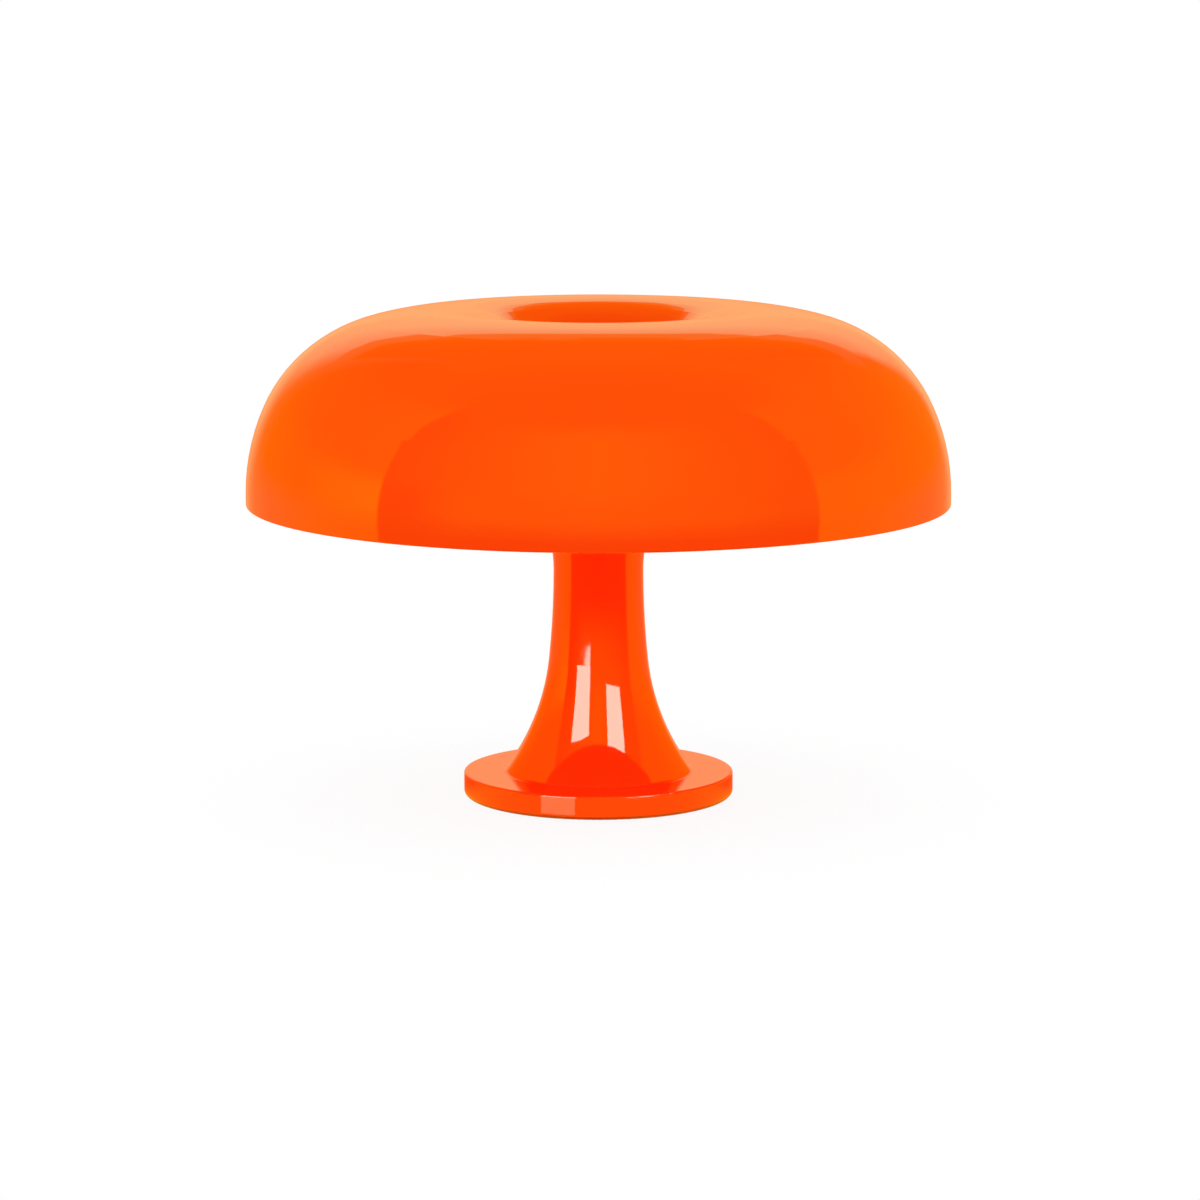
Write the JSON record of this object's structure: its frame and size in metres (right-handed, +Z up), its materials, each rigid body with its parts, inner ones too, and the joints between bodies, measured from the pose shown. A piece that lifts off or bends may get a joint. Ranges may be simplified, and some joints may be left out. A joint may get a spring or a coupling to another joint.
{
  "type": "table lamp",
  "caption": "Table lamp with a wide glossy orange dome shade, a round recess in its top, on a trumpet-shaped stem and round foot.",
  "frame": {"origin": "centre of the foot at the table top, under the pads", "axes": "+Z up along the stem; -Y is the front, as pictured; the cord gland is at +Y"},
  "size_m": [0.32, 0.32, 0.2236],
  "materials": {
    "shade_plastic": "high gloss",
    "stem_plastic": "high gloss",
    "ballast_iron": "as cast",
    "cover_paint": "satin",
    "fastener_steel": "zinc plated",
    "pad_rubber": "matt",
    "gland_plastic": "satin",
    "connector_plastic": "satin",
    "hub_plastic": "satin",
    "holder_plastic": "satin",
    "contact_brass": "bright",
    "lead_plastic": "smooth",
    "opal_glass": "opal",
    "cap_metal": "bright",
    "insulator_glass": "gloss",
    "solder_metal": "dull",
    "clear_glass": "clear",
    "filament_coating": "matt"
  },
  "bodies": {
    "lamp": {"stem_base": "stem_plastic", "ballast": "ballast_iron", "bottom_cover": "cover_paint", "cover_screws": "fastener_steel", "foot_pads": "pad_rubber", "cord_gland": "gland_plastic", "splice_connectors": "connector_plastic", "centre_tube": "fastener_steel", "lower_washer": "fastener_steel", "lower_nut": "fastener_steel", "upper_washer": "fastener_steel", "upper_nut": "fastener_steel", "hub_base": "hub_plastic", "hub_ring": "hub_plastic", "hub_cap": "hub_plastic", "hub_screws": "fastener_steel", "seat_ring": "pad_rubber", "lampholder_1": "holder_plastic", "holder_shell_1": "contact_brass", "holder_contact_1": "contact_brass", "holder_leads_1": "lead_plastic", "lampholder_2": "holder_plastic", "holder_shell_2": "contact_brass", "holder_contact_2": "contact_brass", "holder_leads_2": "lead_plastic", "lampholder_3": "holder_plastic", "holder_shell_3": "contact_brass", "holder_contact_3": "contact_brass", "holder_leads_3": "lead_plastic", "lampholder_4": "holder_plastic", "holder_shell_4": "contact_brass", "holder_contact_4": "contact_brass", "holder_leads_4": "lead_plastic"},
    "shade": {"shade": "shade_plastic"},
    "bulb_1": {"bulb_globe_1": "opal_glass", "bulb_cap_1": "cap_metal", "bulb_insulator_1": "insulator_glass", "bulb_contact_1": "solder_metal", "bulb_mount_1": "clear_glass", "bulb_filaments_1": "filament_coating"},
    "bulb_2": {"bulb_globe_2": "opal_glass", "bulb_cap_2": "cap_metal", "bulb_insulator_2": "insulator_glass", "bulb_contact_2": "solder_metal", "bulb_mount_2": "clear_glass", "bulb_filaments_2": "filament_coating"},
    "bulb_3": {"bulb_globe_3": "opal_glass", "bulb_cap_3": "cap_metal", "bulb_insulator_3": "insulator_glass", "bulb_contact_3": "solder_metal", "bulb_mount_3": "clear_glass", "bulb_filaments_3": "filament_coating"},
    "bulb_4": {"bulb_globe_4": "opal_glass", "bulb_cap_4": "cap_metal", "bulb_insulator_4": "insulator_glass", "bulb_contact_4": "solder_metal", "bulb_mount_4": "clear_glass", "bulb_filaments_4": "filament_coating"}
  },
  "joints": [
    {"name": "shade_lift", "type": "slide", "parent": "lamp", "child": "shade", "axis": [0, 0, 1], "range_m": [0, 0.09]},
    {"name": "bulb_1_turn", "type": "hinge", "parent": "lamp", "child": "bulb_1", "pos_m": [0.0845, 0, 0.1645], "axis": [-1, 0, 0], "range_deg": [-1350, 0]},
    {"name": "bulb_2_turn", "type": "hinge", "parent": "lamp", "child": "bulb_2", "pos_m": [0, 0.0845, 0.1645], "axis": [0, -1, 0], "range_deg": [-1350, 0]},
    {"name": "bulb_3_turn", "type": "hinge", "parent": "lamp", "child": "bulb_3", "pos_m": [-0.0845, 0, 0.1645], "axis": [1, 0, 0], "range_deg": [-1350, 0]},
    {"name": "bulb_4_turn", "type": "hinge", "parent": "lamp", "child": "bulb_4", "pos_m": [0, -0.0845, 0.1645], "axis": [0, 1, 0], "range_deg": [-1350, 0]}
  ]
}
